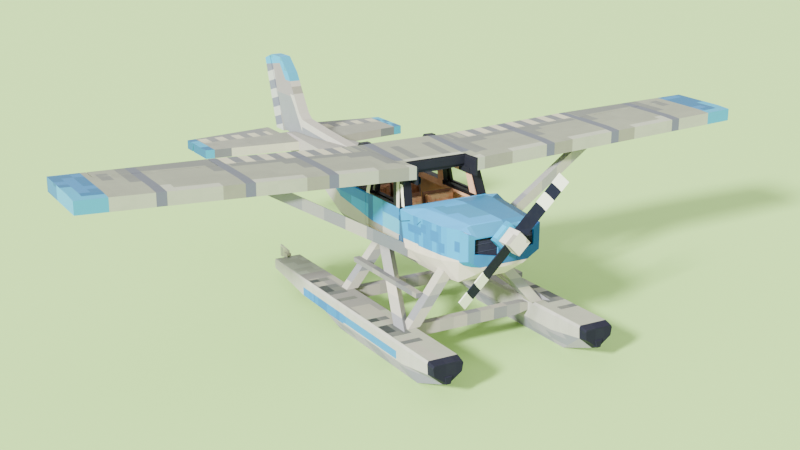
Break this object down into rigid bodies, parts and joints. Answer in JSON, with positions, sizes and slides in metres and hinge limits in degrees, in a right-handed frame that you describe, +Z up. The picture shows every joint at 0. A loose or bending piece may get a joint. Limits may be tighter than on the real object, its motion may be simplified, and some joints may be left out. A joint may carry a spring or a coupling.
{
  "type": "floatplane",
  "caption": "Four-seat high-wing floatplane with a strut-braced wing, two-blade propeller, twin stepped floats, opening cabin doors and working control surfaces.",
  "frame": {"origin": "on the ground under the middle of the aircraft's length, on its centre line", "axes": "+X to the port wing tip, -Y to the nose, +Z up"},
  "size_m": [11, 8.296, 3.452],
  "materials": {
    "white_paint": "satin off-white paint on aluminium",
    "blue_paint": "satin light blue paint on aluminium",
    "grey_paint": "satin grey",
    "charcoal_trim": "matt charcoal paint on aluminium",
    "tan_trim": "tan upholstery",
    "rubber": "matt black rubber",
    "engine_metal": "dark cast metal"
  },
  "bodies": {
    "airframe": {"bow_bumper_port": "rubber", "bow_bumper_starboard": "rubber", "cabin_frame": "charcoal_trim", "cabin_shell": "white_paint", "cowl": "blue_paint", "diagonal_strut_port": "white_paint", "diagonal_strut_starboard": "white_paint", "engine_block": "engine_metal", "fin": "white_paint", "firewall": "grey_paint", "float_port": "white_paint", "float_starboard": "white_paint", "front_seat_port": "tan_trim", "front_seat_starboard": "tan_trim", "front_strut_port": "white_paint", "front_strut_starboard": "white_paint", "instrument_panel": "charcoal_trim", "rear_bench": "tan_trim", "rear_strut_port": "white_paint", "rear_strut_starboard": "white_paint", "spreader_bar_front": "white_paint", "spreader_bar_rear": "white_paint", "stabiliser": "white_paint", "step_bar_port": "white_paint", "step_bar_starboard": "white_paint", "tailcone": "white_paint", "wing_centre": "white_paint", "wing_port": "white_paint", "wing_starboard": "white_paint", "wing_strut_port": "white_paint", "wing_strut_starboard": "white_paint"},
    "propeller": {"propeller_hub": "white_paint", "propeller_backplate": "blue_paint", "propeller_blade_a": "charcoal_trim", "propeller_blade_b": "charcoal_trim"},
    "rudder": {"rudder": "white_paint"},
    "elevator": {"elevator": "white_paint"},
    "aileron_port": {"aileron_port": "white_paint"},
    "aileron_starboard": {"aileron_starboard": "white_paint"},
    "flap_port": {"flap_port": "white_paint"},
    "flap_starboard": {"flap_starboard": "white_paint"},
    "door_port": {"door_port": "blue_paint"},
    "door_starboard": {"door_starboard": "blue_paint"},
    "water_rudder_port": {"water_rudder_port": "grey_paint"},
    "water_rudder_starboard": {"water_rudder_starboard": "grey_paint"}
  },
  "joints": [
    {"name": "propeller_turn", "type": "hinge", "parent": "airframe", "child": "propeller", "pos_m": [0, -3.758, 1.985], "axis": [0, 1, 0], "continuous": true},
    {"name": "rudder_hinge", "type": "hinge", "parent": "airframe", "child": "rudder", "pos_m": [0, 3.4, 2.11], "axis": [0, 0.3877, 0.9218], "range_deg": [-16, 16]},
    {"name": "elevator_hinge", "type": "hinge", "parent": "airframe", "child": "elevator", "pos_m": [0, 3.222, 2.1133], "axis": [1, 0, 0], "range_deg": [-20, 25]},
    {"name": "aileron_hinge_port", "type": "hinge", "parent": "airframe", "child": "aileron_port", "pos_m": [4, -1.07104, 2.87877], "axis": [0.9991, 0, 0.0417], "range_deg": [-15, 15]},
    {"name": "aileron_hinge_starboard", "type": "hinge", "parent": "airframe", "child": "aileron_starboard", "pos_m": [-4, -1.07104, 2.87877], "axis": [0.9991, 0, -0.0417], "range_deg": [-15, 15]},
    {"name": "flap_hinge_port", "type": "hinge", "parent": "airframe", "child": "flap_port", "pos_m": [1.9, -0.997, 2.60819], "axis": [0.9991, 0, 0.0417], "range_deg": [-30, 0]},
    {"name": "flap_hinge_starboard", "type": "hinge", "parent": "airframe", "child": "flap_starboard", "pos_m": [-1.9, -0.997, 2.60819], "axis": [0.9991, 0, -0.0417], "range_deg": [-30, 0]},
    {"name": "door_hinge_port", "type": "hinge", "parent": "airframe", "child": "door_port", "pos_m": [0.757, -1.954, 1.6], "axis": [0, 0, 1], "range_deg": [-72, 0]},
    {"name": "door_hinge_starboard", "type": "hinge", "parent": "airframe", "child": "door_starboard", "pos_m": [-0.757, -1.954, 1.6], "axis": [0, 0, 1], "range_deg": [0, 72]},
    {"name": "water_rudder_lift_port", "type": "hinge", "parent": "airframe", "child": "water_rudder_port", "pos_m": [1.26, 0.904, 0.66], "axis": [1, 0, 0], "range_deg": [-65, 0]},
    {"name": "water_rudder_lift_starboard", "type": "hinge", "parent": "airframe", "child": "water_rudder_starboard", "pos_m": [-1.26, 0.904, 0.66], "axis": [1, 0, 0], "range_deg": [-65, 0]}
  ],
  "couplings": [
    {"joint": "aileron_hinge_starboard", "follows": "aileron_hinge_port", "ratio": -1},
    {"joint": "flap_hinge_starboard", "follows": "flap_hinge_port", "ratio": 1},
    {"joint": "water_rudder_lift_starboard", "follows": "water_rudder_lift_port", "ratio": 1}
  ]
}
